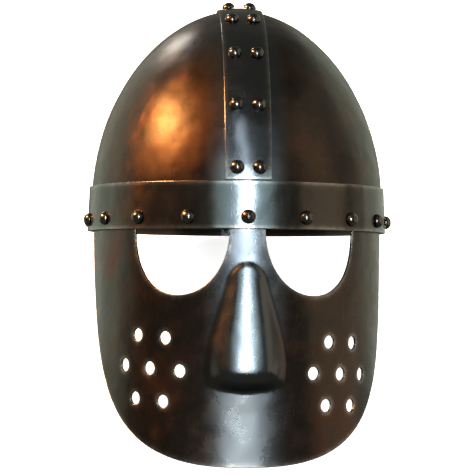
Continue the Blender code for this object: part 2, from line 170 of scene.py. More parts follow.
# How finely the plates and rivets are drawn. The finer points over the nose reach a share of
# its width to each side, and past its two ends by the margin.
MESH_STEP = 0.0022
NOSE_MESH_STEP = 0.0013
NOSE_MESH_REACH = 0.56
NOSE_MESH_MARGIN = 0.004
EYE_MESH_STEP = 0.7 * MESH_STEP
CLEAR_OF_EDGES = 0.55 * MESH_STEP
SAME_POINT = 1e-7
OUTLINE_POINTS = 1600
EYE_POINTS = 600
HOLE_POINTS = 28
LIP_ROWS = 8
EDGE_TURNS = (30, 60, 90)
HEAD_SEGMENTS = 28
HEAD_RINGS = 16
SHANK_SEGMENTS = 16

SKULL_INSET = PLATE + GAP
MASK_INSET = 2 * (PLATE + GAP)
SKULL_SPAN = math.pi / 2 * SKULL_HEIGHT
SEAM = GAP / 2

REST = Matrix.Translation(REST_PLACE) @ Matrix.Rotation(-REST_TILT, 4, "X")


def ease(share):
    """From 0 to 1 with a level start and end."""
    share = np.clip(share, 0.0, 1.0)
    return share * share * (3 - 2 * share)


def signed_power(value, power):
    return np.sign(value) * np.abs(value) ** power


def rim_half_sizes(height, inset):
    lean = BAND_DRAFT * height / BAND_HEIGHT + inset
    return RIM_WIDTH / 2 - lean, RIM_DEPTH / 2 - lean


def plan_radius(azimuth, half_width, half_depth, power=2.0):
    across = np.abs(np.sin(azimuth) / half_width) ** power
    along = np.abs(np.cos(azimuth) / half_depth) ** power
    return (across + along) ** (-1 / power)


def plan_points(azimuth, radius, height):
    parts = (radius * np.sin(azimuth), -radius * np.cos(azimuth), height)
    return np.stack(np.broadcast_arrays(*parts), axis=-1)


class Arc:
    """A curve measured by its length, which gives the curve's angle at each length."""

    def __init__(self, curve, start, end, steps=2880):
        self.angles = np.linspace(start, end, steps + 1)
        sides = np.linalg.norm(np.diff(curve(self.angles), axis=0), axis=1)
        self.lengths = np.concatenate(([0.0], np.cumsum(sides)))
        self.total = self.lengths[-1]

    def angle_at(self, length):
        return np.interp(length, self.lengths, self.angles)


def rim_curve(azimuth):
    return plan_points(azimuth, plan_radius(azimuth, *rim_half_sizes(0.0, 0.0)), 0.0)


RIM = Arc(rim_curve, -math.pi, math.pi)
BROW_PITCH = RIM.total / BROW_RIVETS


def band_face(along, height):
    """The brow band's outer face. along is the arc from the front, positive to +X."""
    azimuth = RIM.angle_at((along + RIM.total / 2) % RIM.total)
    return plan_points(azimuth, plan_radius(azimuth, *rim_half_sizes(height, 0.0)), height)


def dome_points(direction, inset):
    """Where directions from the spring line's centre meet the dome."""
    half_width, half_depth = rim_half_sizes(SPRING_HEIGHT, inset)
    level = np.hypot(direction[..., 0] / half_width, direction[..., 1] / half_depth)
    rise = np.abs(direction[..., 2]) / (SKULL_HEIGHT - SPRING_HEIGHT + SKULL_INSET - inset)
    reach = (level ** SKULL_POWER + rise ** SKULL_POWER) ** (-1 / SKULL_POWER)
    return direction * reach[..., None] + (0.0, 0.0, SPRING_HEIGHT)


def skull_face(u, v):
    """The skull's outer face. (u, v) is its flat pattern, with the crown at (0, 0)."""
    azimuth = np.arctan2(u, -v)
    below = np.hypot(u, v) - SKULL_SPAN
    height = SPRING_HEIGHT - np.maximum(below, 0.0)
    side = plan_points(azimuth, plan_radius(azimuth, *rim_half_sizes(height, SKULL_INSET)), height)
    elevation = np.maximum(-below, 0.0) / SKULL_SPAN * math.pi / 2
    dome = dome_points(plan_points(azimuth, np.cos(elevation), np.sin(elevation)), SKULL_INSET)
    return np.where((below >= 0)[..., None], side, dome)


def crest_curve(angle):
    zero = np.zeros_like(angle)
    return dome_points(np.stack((zero, -np.cos(angle), np.sin(angle)), axis=-1), SKULL_INSET)


COMB_FOOT = math.atan2(BAND_HEIGHT + 2 * GAP - SPRING_HEIGHT, RIM_DEPTH / 2 - SKULL_INSET)
CREST = Arc(crest_curve, COMB_FOOT, math.pi - COMB_FOOT)


def comb_face(across, along):
    """The comb band's outer face. along is the arc from its front foot. The angle to the side
    that gives the arc across settles in a few rounds."""
    angle = CREST.angle_at(along)
    side = np.zeros_like(angle)
    for _ in range(5):
        points = dome_points(np.stack((side, -np.cos(angle), np.sin(angle)), axis=-1), 0.0)
        side = across / np.hypot(points[..., 1], points[..., 2] - SPRING_HEIGHT)
    return points


def nose_half_width(below):
    share = ease((below - NOSE_ROOT) / (NOSE_TIP - NOSE_ROOT))
    return (NOSE_ROOT_WIDTH + (NOSE_BASE_WIDTH - NOSE_ROOT_WIDTH) * share) / 2


def rounded_ramp(share, reach=0.36):
    """Rises evenly from 0 and rounds off into 1."""
    start = 1 - reach / 2
    over = np.clip((share - start) / reach, 0.0, 1.0)
    return np.clip(share, 0.0, start) + reach * (over - over ** 2 / 2)


def nose_rise(along, below):
    """How far the nose stands out: an arched step, a long ramp and a round, curled tip."""
    share = np.clip(np.abs(along) / nose_half_width(below), 0.0, 1.0)
    root = below - NOSE_ROOT - NOSE_ARCH * share ** 2
    tip = below - NOSE_TIP + NOSE_CURL * share ** 2
    step = NOSE_STEP * ease(root / NOSE_STEP_RUN)
    ramp = rounded_ramp(root / (NOSE_TIP - NOSE_ROOT))
    fall = np.clip(tip / (NOSE_END - NOSE_TIP), 0.0, 1.0)
    crest = (step + (NOSE_RISE - NOSE_STEP) * ramp) * np.cos(math.pi / 2 * fall)
    return crest * np.cos(math.pi / 2 * share ** NOSE_FULLNESS) ** NOSE_FLARE


def mask_face(along, height):
    """The mask's outer face, which follows the rim and flattens towards the chin."""
    azimuth = RIM.angle_at(along + RIM.total / 2)
    lower = ease(-height / MASK_DROP)
    half_width, half_depth = rim_half_sizes(np.maximum(height, 0.0), MASK_INSET)
    half_width = half_width - CHEEK_NARROWING * lower
    half_depth = half_depth - CHIN_LEAN * lower
    radius = plan_radius(azimuth, half_width, half_depth, 2 + CHEEK_FLATTENING * lower)
    points = plan_points(azimuth, radius, height)
    points[..., 1] -= nose_rise(along, -height)
    return points


def face_normals(face, a, b, step=0.0002):
    """Outward normals of a formed face at points of its flat pattern."""
    along_a = face(a + step, b) - face(a - step, b)
    along_b = face(a, b + step) - face(a, b - step)
    normals = np.cross(along_a, along_b)
    normals /= np.linalg.norm(normals, axis=-1)[..., None]
    points = face(a, b)
    centre = np.stack((0 * a, 0 * a, np.minimum(points[..., 2], SPRING_HEIGHT)), axis=-1)
    outward = np.sum(normals * (points - centre), axis=-1) > 0
    return np.where(outward[..., None], normals, -normals)


def beaten(points, normals):
    """The shallow unevenness that the hammer leaves in a formed plate."""
    spots = [Vector(point) / BEATING_SIZE for point in points]
    rise = [noise.noise(spot) + FINE_BEATING_SHARE * noise.noise(spot * FINE_BEATING_SCALE)
            for spot in spots]
    return points + normals * (BEATING_DEPTH * np.array(rise))[:, None]


def rim_chain(faces):
    """Each boundary point's next one, with the plate on the left of the way."""
    sides = {(a, b) for face in faces for a, b in zip(face, face[1:] + face[:1])}
    return {a: b for a, b in sides if (b, a) not in sides}


def edge_rings(points, normals, rim, chain):
    """Rows of points that lead a plate's rolled edge from its outer to its inner face."""
    before = {later: earlier for earlier, later in chain.items()}
    way = points[[chain[i] for i in rim]] - points[[before[i] for i in rim]]
    out = np.cross(way, normals[rim])
    out /= np.linalg.norm(out, axis=1)[:, None]
    steps = [(turn, EDGE_ROLL * (1 - math.cos(turn))) for turn in map(math.radians, EDGE_TURNS)]
    steps += [(turn, PLATE - drop) for turn, drop in reversed(steps)]
    return [points[rim] + out * EDGE_ROLL * math.sin(turn) - drop * normals[rim]
            for turn, drop in steps]


def plate(name, face, a, b, faces, material, place=None):
    """Form flat points and faces, give them the plate's thickness and roll over the edges."""
    normals = face_normals(face, a, b)
    points = beaten(face(a, b), normals)
    if place:
        points = place(points)
    middle = faces[len(faces) // 2]
    first, second, third = points[list(middle[:3])]
    if np.dot(np.cross(second - first, third - first), normals[middle[0]]) < 0:
        faces = [tuple(reversed(corners)) for corners in faces]
    chain = rim_chain(faces)
    rim = sorted(chain)
    rings = edge_rings(points, normals, rim, chain)
    vertices = np.concatenate([points, points - PLATE * normals] + rings)
    count = len(points)
    solid = faces + [tuple(count + i for i in reversed(corners)) for corners in faces]
    spot = {point: i for i, point in enumerate(rim)}
    for here, later in chain.items():
        lanes = [(here, later)]
        for ring in range(len(rings)):
            start = 2 * count + ring * len(rim)
            lanes.append((start + spot[here], start + spot[later]))
        lanes.append((count + here, count + later))
        for (a1, b1), (a2, b2) in zip(lanes, lanes[1:]):
            solid.append((a1, a2, b2, b1))
    mesh = bpy.data.meshes.new(name)
    mesh.from_pydata([REST @ Vector(vertex) for vertex in vertices], [], solid)
    mesh.update()
    mesh.shade_smooth()
    weigh_normals(mesh)
    mesh.materials.append(material)
    add_edge_wear(mesh, [REST @ Vector(points[i]) for i in rim])
    piece = bpy.data.objects.new(name, mesh)
    bpy.context.scene.collection.objects.link(piece)
    return piece


def weigh_normals(mesh):
    """Normals weighed by area, so that the small faces of a rolled edge don't bend the plate's."""
    faces = len(mesh.polygons)
    normals, areas = np.empty(faces * 3), np.empty(faces)
    mesh.polygons.foreach_get("normal", normals)
    mesh.polygons.foreach_get("area", areas)
    sizes, corners = np.empty(faces, dtype=int), np.empty(len(mesh.loops), dtype=int)
    mesh.polygons.foreach_get("loop_total", sizes)
    mesh.loops.foreach_get("vertex_index", corners)
    sums = np.zeros((len(mesh.vertices), 3))
    np.add.at(sums, corners, np.repeat(normals.reshape(-1, 3) * areas[:, None], sizes, axis=0))
    mesh.normals_split_custom_set_from_vertices(
        sums / np.linalg.norm(sums, axis=1, keepdims=True))


def add_edge_wear(mesh, rim):
    """An attribute that is 1 on the plate's edges and fades out within a few millimetres."""
    tree = KDTree(len(rim))
    for i, point in enumerate(rim):
        tree.insert(point, i)
    tree.balance()
    wear = [math.exp(-tree.find(vertex.co)[2] / EDGE_WEAR_REACH) for vertex in mesh.vertices]
    layer = mesh.attributes.new("edge_wear", "FLOAT", "POINT")
    layer.data.foreach_set("value", wear)


def grid_faces(rows, columns, wraps=False):
    faces = []
    for i in range(rows - 1):
        for j in range(columns if wraps else columns - 1):
            k = (j + 1) % columns
            faces.append((i * columns + j, i * columns + k,
                          (i + 1) * columns + k, (i + 1) * columns + j))
    return faces


def brow_band(material):
    columns = round(RIM.total / MESH_STEP)
    rows = round(BAND_HEIGHT / MESH_STEP)
    along = np.arange(columns) * RIM.total / columns
    height = np.linspace(EDGE_ROLL, BAND_HEIGHT - EDGE_ROLL, rows)
    heights, alongs = np.meshgrid(height, along, indexing="ij")
    faces = grid_faces(rows, columns, wraps=True)
    return plate("brow_band_formed", band_face, alongs.ravel(), heights.ravel(), faces, material)


def comb_band(material):
    rows = round(CREST.total / MESH_STEP)
    columns = round(COMB_WIDTH / MESH_STEP)
    along = np.linspace(EDGE_ROLL, CREST.total - EDGE_ROLL, rows)
    across = np.linspace(EDGE_ROLL - COMB_WIDTH / 2, COMB_WIDTH / 2 - EDGE_ROLL, columns)
    alongs, acrosses = np.meshgrid(along, across, indexing="ij")
    faces = grid_faces(rows, columns)
    return plate("comb_band_formed", comb_face, acrosses.ravel(), alongs.ravel(), faces, material)


def skull_half(name, side, material):
    """One half of the skull: rows from the lip to the crown, which ends in a fan."""
    columns = round(RIM.total / 2 / MESH_STEP)
    rows = round((SKULL_HEIGHT + SPRING_HEIGHT) / MESH_STEP)
    azimuth = side * RIM.angle_at(RIM.total / 2 + np.linspace(0, RIM.total / 2, columns))
    lip = SKULL_SPAN + SPRING_HEIGHT - SKULL_LIP - EDGE_ROLL
    steep = np.linspace(lip, SKULL_SPAN, LIP_ROWS, endpoint=False)
    reach = np.concatenate((steep, np.linspace(SKULL_SPAN, SKULL_SPAN / rows, rows)))
    reaches, azimuths = np.meshgrid(reach, azimuth, indexing="ij")
    u = np.append((reaches * np.sin(azimuths)).ravel(), 0.0)
    v = np.append((-reaches * np.cos(azimuths)).ravel(), 0.0)
    faces = grid_faces(len(reach), columns)
    crown = len(u) - 1
    last = (len(reach) - 1) * columns
    faces += [(last + j, last + j + 1, crown) for j in range(columns - 1)]

    def place(points):
        clear = SEAM + EDGE_ROLL
        points[:, 0] = side * np.maximum(side * points[:, 0], clear)
        return points

    return plate(name, skull_face, u, v, faces, material, place)


def even_loop(corners, step):
    """A closed loop of corners drawn again with points an even step apart."""
    corners = np.array(corners)
    closed = np.vstack((corners, corners[:1]))
    lengths = np.concatenate(([0], np.cumsum(np.linalg.norm(np.diff(closed, axis=0), axis=1))))
    count = round(lengths[-1] / step)
    spots = np.arange(count) * lengths[-1] / count
    return np.stack((np.interp(spots, lengths, closed[:, 0]),
                     np.interp(spots, lengths, closed[:, 1])), axis=1)


def mask_outline():
    """Straight behind the brow band, then one sweep from side to side round the chin."""
    reach = MASK_REACH - EDGE_ROLL
    turn = np.linspace(0, math.pi, OUTLINE_POINTS)
    along = reach * signed_power(np.cos(turn), 2 / MASK_SIDE_POWER)
    height = -(MASK_DROP - EDGE_ROLL) * np.sin(turn) ** (2 / MASK_CHIN_POWER)
    top = MASK_TUCK - EDGE_ROLL
    corners = [(-reach, top), (reach, top)] + list(zip(along, height))
    return even_loop(corners, MESH_STEP)


def eye_opening(side):
    """Straight along the top, round below."""
    half = EYE_WIDTH / 2 + EDGE_ROLL
    turn = np.linspace(0, math.pi, EYE_POINTS)
    along = EYE_OFFSET + half * signed_power(np.cos(turn), 2 / EYE_POWER)
    height = -(EYE_DEPTH + EDGE_ROLL) * np.sin(turn) ** (2 / EYE_POWER)
    top = EYE_TOP + EDGE_ROLL
    corners = [(EYE_OFFSET - half, top), (EYE_OFFSET + half, top)] + list(zip(along, height))
    return even_loop([(side * a, b) for a, b in corners], EYE_MESH_STEP)


def breath_holes():
    """On each cheek, one hole with six round it."""
    loops = []
    turn = np.linspace(0, 2 * math.pi, HOLE_POINTS, endpoint=False)
    radius = HOLE_DIAMETER / 2 + EDGE_ROLL
    ring = np.stack((radius * np.cos(turn), radius * np.sin(turn)), axis=1)
    for along, below, skew in HOLE_CLUSTERS:
        middle = np.array((along, -below))
        loops.append(middle + ring)
        for i in range(6):
            way = math.radians(60 * i + skew)
            loops.append(middle + HOLE_PITCH * np.array((math.cos(way), math.sin(way))) + ring)
    return loops


def inside(points, loop):
    """Which flat points lie within a closed loop."""
    x, y = points[:, :1], points[:, 1:]
    ends = np.roll(loop, -1, axis=0)
    crosses = (loop[:, 1] > y) != (ends[:, 1] > y)
    rise = ends[:, 1] - loop[:, 1]
    slope = (ends[:, 0] - loop[:, 0]) / np.where(rise == 0, 1, rise)
    return np.sum(crosses & (x < loop[:, 0] + slope * (y - loop[:, 1])), axis=1) % 2 == 1


def staggered(width, low, high, step):
    """Points in staggered rows over a strip that is centred on x = 0."""
    rows = np.arange(low, high, step * math.sqrt(3) / 2)
    spots = []
    for i, height in enumerate(rows):
        line = np.arange(-width / 2 + (i % 2) * step / 2, width / 2, step)
        spots.append(np.stack((line, np.full(len(line), height)), axis=1))
    return np.concatenate(spots)


def mask_pattern():
    """The mask's flat pattern: its points and its triangles, finer over the nose."""
    openings = [eye_opening(-1), eye_opening(1)] + breath_holes()
    outline = mask_outline()
    fill = staggered(2 * MASK_REACH, -MASK_DROP, MASK_TUCK, MESH_STEP)
    reach = NOSE_BASE_WIDTH * NOSE_MESH_REACH
    foot, root = -NOSE_END - NOSE_MESH_MARGIN, NOSE_MESH_MARGIN - NOSE_ROOT
    on_nose = (np.abs(fill[:, 0]) < reach) & (fill[:, 1] > foot) & (fill[:, 1] < root)
    fine = staggered(2 * reach, foot, root, NOSE_MESH_STEP)
    fill = np.concatenate((fill[~on_nose], fine))
    tree = KDTree(len(outline) + sum(len(loop) for loop in openings))
    for i, corner in enumerate(np.concatenate([outline] + openings)):
        tree.insert((*corner, 0), i)
    tree.balance()
    clear = [tree.find((*spot, 0))[2] > CLEAR_OF_EDGES for spot in fill]
    fill = fill[np.array(clear) & inside(fill, outline)]
    for loop in openings:
        fill = fill[~inside(fill, loop)]
    edges = []
    points = []
    for loop in [outline] + openings:
        start = len(points)
        edges += [(start + i, start + (i + 1) % len(loop)) for i in range(len(loop))]
        points += list(loop)
    points += list(fill)
    result = delaunay_2d_cdt([Vector(point) for point in points], edges, [], 0, SAME_POINT)
    flat = np.array([tuple(point) for point in result[0]])
    triangles = np.array([tuple(triangle) for triangle in result[2]])
    middles = flat[triangles].mean(axis=1)
    kept = inside(middles, outline)
    for loop in openings:
        kept &= ~inside(middles, loop)
    return flat, [tuple(triangle) for triangle in triangles[kept].tolist()]


def face_mask(material):
    flat, triangles = mask_pattern()
    return plate("face_mask_formed", mask_face, flat[:, 0], flat[:, 1], triangles, material)


# Sockets that share a name with others on their node: Mix's colours and Random Value's numbers
MIX_A, MIX_B, MIXED = 6, 7, 2
LEAST, MOST, PICKED = 2, 3, 1


def add_node(tree, kind, inputs=None, **settings):
    """Add a node with its settings, and give its inputs values or links."""
    node = tree.nodes.new(kind)
    for name, value in settings.items():
        setattr(node, name, value)
    for name, value in (inputs or {}).items():
        socket = node.inputs[name]
        if isinstance(value, bpy.types.NodeSocket):
            tree.links.new(value, socket)
        else:
            socket.default_value = value
    return node


def rivet_tree():
    """Rivets on points: a domed head on the face, a shank and a spread tail behind the plates."""
    tree = bpy.data.node_groups.new("rivets_on_seats", "GeometryNodeTree")
    face = tree.interface
    face.new_socket("Seats", in_out="INPUT", socket_type="NodeSocketGeometry")
    for name in ("Head Diameter", "Head Height", "Shank Diameter", "Grip", "Tail Diameter",
                 "Tail Height", "Size Spread", "Lean Spread"):
        face.new_socket(name, in_out="INPUT", socket_type="NodeSocketFloat")
    face.new_socket("Seed", in_out="INPUT", socket_type="NodeSocketInt")
    face.new_socket("Steel", in_out="INPUT", socket_type="NodeSocketMaterial")
    face.new_socket("Rivets", in_out="OUTPUT", socket_type="NodeSocketGeometry")
    given = tree.nodes.new("NodeGroupInput").outputs
    domes = []
    for diameter, height, pick in (("Head Diameter", "Head Height", "MAXIMUM"),
                                   ("Tail Diameter", "Tail Height", "MINIMUM")):
        ball = add_node(tree, "GeometryNodeMeshUVSphere",
                        {"Segments": HEAD_SEGMENTS, "Rings": HEAD_RINGS})
        spot = add_node(tree, "GeometryNodeInputPosition")
        parts = add_node(tree, "ShaderNodeSeparateXYZ", {"Vector": spot.outputs[0]})
        cut = add_node(tree, "ShaderNodeMath", {0: parts.outputs["Z"], 1: 0.0}, operation=pick)
        half = add_node(tree, "ShaderNodeMath", {0: given[diameter], 1: 0.5}, operation="MULTIPLY")
        x, y = (add_node(tree, "ShaderNodeMath", {0: parts.outputs[axis], 1: half.outputs[0]},
                         operation="MULTIPLY") for axis in "XY")
        z = add_node(tree, "ShaderNodeMath", {0: cut.outputs[0], 1: given[height]},
                     operation="MULTIPLY")
        place = add_node(tree, "ShaderNodeCombineXYZ",
                         {"X": x.outputs[0], "Y": y.outputs[0], "Z": z.outputs[0]})
        domes.append(add_node(tree, "GeometryNodeSetPosition",
                              {"Geometry": ball.outputs["Mesh"], "Position": place.outputs[0]}))
    back = add_node(tree, "ShaderNodeMath", {0: given["Grip"], 1: -1.0}, operation="MULTIPLY")
    drop = add_node(tree, "ShaderNodeCombineXYZ", {"Z": back.outputs[0]})
    tail = add_node(tree, "GeometryNodeTransform",
                    {"Geometry": domes[1].outputs[0], "Translation": drop.outputs[0]})
    radius = add_node(tree, "ShaderNodeMath", {0: given["Shank Diameter"], 1: 0.5},
                      operation="MULTIPLY")
    shank = add_node(tree, "GeometryNodeMeshCylinder",
                     {"Vertices": SHANK_SEGMENTS, "Radius": radius.outputs[0],
                      "Depth": given["Grip"]})
    midway = add_node(tree, "ShaderNodeMath", {0: given["Grip"], 1: -0.5}, operation="MULTIPLY")
    midway = add_node(tree, "ShaderNodeCombineXYZ", {"Z": midway.outputs[0]})
    shank = add_node(tree, "GeometryNodeTransform",
                     {"Geometry": shank.outputs["Mesh"], "Translation": midway.outputs[0]})
    rivet = tree.nodes.new("GeometryNodeJoinGeometry")
    for part in (domes[0], tail, shank):
        tree.links.new(part.outputs[0], rivet.inputs[0])
    normal = add_node(tree, "GeometryNodeInputNamedAttribute", {"Name": "seat_normal"},
                      data_type="FLOAT_VECTOR")
    aim = add_node(tree, "FunctionNodeAlignRotationToVector", {"Vector": normal.outputs[0]},
                   axis="Z")
    low = add_node(tree, "ShaderNodeMath", {0: given["Lean Spread"], 1: -1.0},
                   operation="MULTIPLY")
    ends = [add_node(tree, "ShaderNodeCombineXYZ", {"X": side, "Y": side, "Z": turn})
            for side, turn in ((low.outputs[0], 0.0), (given["Lean Spread"], 2 * math.pi))]
    lean = add_node(tree, "FunctionNodeRandomValue",
                    {"Min": ends[0].outputs[0], "Max": ends[1].outputs[0], "Seed": given["Seed"]},
                    data_type="FLOAT_VECTOR")
    turn = add_node(tree, "FunctionNodeRotateRotation",
                    {"Rotation": aim.outputs[0], "Rotate By": lean.outputs[0]},
                    rotation_space="LOCAL")
    least = add_node(tree, "ShaderNodeMath", {0: 1.0, 1: given["Size Spread"]},
                     operation="SUBTRACT")
    size = add_node(tree, "FunctionNodeRandomValue",
                    {LEAST: least.outputs[0], MOST: 1.0, "Seed": given["Seed"]},
                    data_type="FLOAT")
    rows = add_node(tree, "GeometryNodeInstanceOnPoints",
                    {"Points": given["Seats"], "Instance": rivet.outputs[0],
                     "Rotation": turn.outputs[0], "Scale": size.outputs[PICKED]})
    real = add_node(tree, "GeometryNodeRealizeInstances", {"Geometry": rows.outputs[0]})
    smooth = add_node(tree, "GeometryNodeSetShadeSmooth", {"Geometry": real.outputs[0]})
    steel = add_node(tree, "GeometryNodeSetMaterial",
                     {"Geometry": smooth.outputs[0], "Material": given["Steel"]})
    end = tree.nodes.new("NodeGroupOutput")
    tree.links.new(steel.outputs[0], end.inputs[0])
    return tree


def rivet_row(name, tree, face, a, b, plates, seed, material):
    """Set one row of rivets at places on a plate's flat pattern, through a number of plates."""
    a, b = np.array(a), np.array(b)
    points = [REST @ Vector(point) for point in face(a, b)]
    normals = [REST.to_3x3() @ Vector(normal) for normal in face_normals(face, a, b)]
    seats = bpy.data.meshes.new(name)
    seats.from_pydata([p + GAP / 2 * n for p, n in zip(points, normals)], [], [])
    layer = seats.attributes.new("seat_normal", "FLOAT_VECTOR", "POINT")
    layer.data.foreach_set("vector", [axis for normal in normals for axis in normal])
    holder = bpy.data.objects.new(name + "_seats", seats)
    bpy.context.scene.collection.objects.link(holder)
    modifier = holder.modifiers.new("rivets", "NODES")
    modifier.node_group = tree
    sizes = {
        "Head Diameter": HEAD_DIAMETER, "Head Height": HEAD_HEIGHT,
        "Shank Diameter": SHANK_DIAMETER, "Grip": plates * (PLATE + GAP),
        "Tail Diameter": TAIL_DIAMETER, "Tail Height": TAIL_HEIGHT,
        "Size Spread": RIVET_SIZE_SPREAD, "Lean Spread": RIVET_LEAN, "Seed": seed,
        "Steel": material,
    }
    for socket in tree.interface.items_tree:
        if socket.name in sizes:
            modifier[socket.identifier] = sizes[socket.name]
    bpy.context.view_layer.update()
    ready = holder.evaluated_get(bpy.context.evaluated_depsgraph_get())
    mesh = bpy.data.meshes.new_from_object(ready)
    mesh.name = name
    bpy.data.objects.remove(holder)
    piece = bpy.data.objects.new(name, mesh)
    bpy.context.scene.collection.objects.link(piece)
    return piece


def brow_rivet_arcs():
    """Arcs of the rivets round the brow, split into those that hold the mask and the rest."""
    front, rear = [], []
    for i in range(BROW_RIVETS):
        along = i * BROW_PITCH
        along -= RIM.total if along > RIM.total / 2 else 0
        (front if abs(along) + HEAD_DIAMETER / 2 < MASK_REACH else rear).append(along)
    return front, rear


def comb_rivet_arcs():
    """Pairs stepped off from the front foot to the crown, then shared out evenly behind it."""
    steps = int((CREST.total / 2 - COMB_RIVET_MARGIN) // COMB_RIVET_PITCH)
    front = [COMB_RIVET_MARGIN + COMB_RIVET_PITCH * i for i in range(steps + 1)]
    rest = CREST.total - COMB_RIVET_MARGIN - front[-1]
    spaces = round(rest / COMB_RIVET_PITCH)
    return front + [front[-1] + rest * (i + 1) / spaces for i in range(spaces)]


def linear(code):
    """A colour given as sRGB hex, as the linear values that the shader takes."""
    parts = [int(code[i:i + 2], 16) / 255 for i in (1, 3, 5)]
    return (*(p / 12.92 if p <= 0.04045 else ((p + 0.055) / 1.055) ** 2.4 for p in parts), 1.0)


def blackened_steel(name, dark, brown, tarnish, rubbed, tarnish_amount, rough):
    """Hand-beaten mild steel, blackened in oil and waxed. It gives deep brown-black metal with
    soft reflections, thin reddish tarnish in patches and brighter steel along the edges.
    rough is the clean metal's roughness, which the wax varies a little."""
    material = bpy.data.materials.new(name)
    material.use_nodes = True
    tree = material.node_tree
    shader = tree.nodes["Principled BSDF"]
    shader.inputs["Metallic"].default_value = 1.0
    place = add_node(tree, "ShaderNodeTexCoord").outputs["Object"]
    upright = add_node(tree, "ShaderNodeMapping", {"Vector": place, "Rotation": (REST_TILT, 0, 0)})
    upright = upright.outputs[0]

    # Oil scale in dark and brown clouds about 35 mm across, mottled at about 5 mm
    clouds = add_node(tree, "ShaderNodeTexNoise",
                      {"Vector": upright, "Scale": 1 / OIL_CLOUD, "Detail": 5.0,
                       "Roughness": 0.62})
    mottle = add_node(tree, "ShaderNodeTexNoise",
                      {"Vector": upright, "Scale": 1 / OIL_MOTTLE, "Detail": 4.0,
                       "Roughness": 0.6})
    brownness = add_node(tree, "ShaderNodeMapRange",
                         {"Value": clouds.outputs["Fac"], "From Min": 0.36, "From Max": 0.72})
    colour = add_node(tree, "ShaderNodeMix",
                      {"Factor": brownness.outputs[0], MIX_A: linear(dark),
                       MIX_B: linear(brown)},
                      data_type="RGBA").outputs[MIXED]

    # Thin reddish tarnish in ragged patches, the largest about 60 mm across
    patches = add_node(tree, "ShaderNodeTexNoise",
                       {"Vector": upright, "Scale": 1 / TARNISH_PATCH, "Detail": 8.0,
                        "Roughness": 0.7, "Distortion": 0.6})
    spread = TARNISH_SPREAD * tarnish_amount
    patch = add_node(tree, "ShaderNodeMapRange",
                     {"Value": patches.outputs["Fac"], "From Min": 0.64 - spread,
                      "From Max": 0.80 - spread})
    patch = add_node(tree, "ShaderNodeMath",
                     {0: patch.outputs[0], 1: mottle.outputs["Fac"]}, operation="MULTIPLY")
    patch = add_node(tree, "ShaderNodeMath", {0: patch.outputs[0], 1: TARNISH_STRENGTH},
                     operation="MULTIPLY", use_clamp=True)

    # A painted highlight: lighter grey steel down the middle, over the comb and the nose, which
    # brightens the reflection there, with less tarnish in it
    across = add_node(tree, "ShaderNodeSeparateXYZ", {"Vector": upright}).outputs["X"]
    across = add_node(tree, "ShaderNodeMath", {0: across}, operation="ABSOLUTE")
    beside_painted_highlight = add_node(tree, "ShaderNodeMapRange",
                     {"Value": across.outputs[0], "From Min": PAINTED_HIGHLIGHT_STRIP,
                      "From Max": PAINTED_HIGHLIGHT_STRIP_END, "To Min": 0.08})
    patch = add_node(tree, "ShaderNodeMath", {0: patch.outputs[0], 1: beside_painted_highlight.outputs[0]},
                     operation="MULTIPLY")
    colour = add_node(tree, "ShaderNodeMix",
                      {"Factor": patch.outputs[0], MIX_A: colour, MIX_B: linear(tarnish)},
                      data_type="RGBA").outputs[MIXED]
    # The painted highlight's lighter steel goes in down the middle
    colour = add_node(tree, "ShaderNodeMix",
                      {"Factor": beside_painted_highlight.outputs[0], MIX_A: linear(PAINTED_HIGHLIGHT_STEEL), MIX_B: colour},
                      data_type="RGBA").outputs[MIXED]

    # Scratches about 0.3 mm wide and 20 mm long. Real ones are finer, and wouldn't show.
    scratches = []
    for turn in SCRATCH_TURNS:
        way = add_node(tree, "ShaderNodeMapping",
                       {"Vector": upright, "Rotation": (0, math.radians(turn), 0),
                        "Scale": (1 / SCRATCH_SPACING, 1 / SCRATCH_SPACING,
                                  1 / SCRATCH_LENGTH)})
        line = add_node(tree, "ShaderNodeTexNoise",
                        {"Vector": way.outputs[0], "Scale": 1.0, "Detail": 2.0})
        sharp = add_node(tree, "ShaderNodeMapRange",
                         {"Value": line.outputs["Fac"], "From Min": 0.69, "From Max": 0.80})
        scratches.append(sharp.outputs[0])
    lines = scratches[0]
    for scratch in scratches[1:]:
        lines = add_node(tree, "ShaderNodeMath", {0: lines, 1: scratch},
                         operation="MAXIMUM").outputs[0]

    # Steel shows brighter on the edges and in the scratches
    wear = add_node(tree, "ShaderNodeAttribute", attribute_name="edge_wear")
    ragged = add_node(tree, "ShaderNodeMath",
                      {0: wear.outputs["Fac"], 1: mottle.outputs["Fac"]}, operation="MULTIPLY")
    bright = add_node(tree, "ShaderNodeMath",
                      {0: lines, 1: SCRATCH_SHINE, 2: ragged.outputs[0]},
                      operation="MULTIPLY_ADD", use_clamp=True)
    colour = add_node(tree, "ShaderNodeMix",
                      {"Factor": bright.outputs[0], MIX_A: colour, MIX_B: linear(rubbed)},
                      data_type="RGBA").outputs[MIXED]
    tree.links.new(colour, shader.inputs["Base Color"])

    # Wax leaves smears about 18 mm across, and tarnish is duller
    smears = add_node(tree, "ShaderNodeTexNoise",
                      {"Vector": upright, "Scale": 1 / WAX_SMEAR, "Detail": 5.0,
                       "Roughness": 0.65})
    sheen = add_node(tree, "ShaderNodeMapRange",
                     {"Value": smears.outputs["Fac"], "From Min": 0.3, "From Max": 0.7,
                      "To Min": rough - 0.06, "To Max": rough + 0.07})
    dull = add_node(tree, "ShaderNodeMath",
                    {0: patch.outputs[0], 1: TARNISH_DULLNESS, 2: sheen.outputs[0]},
                    operation="MULTIPLY_ADD")
    tree.links.new(dull.outputs[0], shader.inputs["Roughness"])

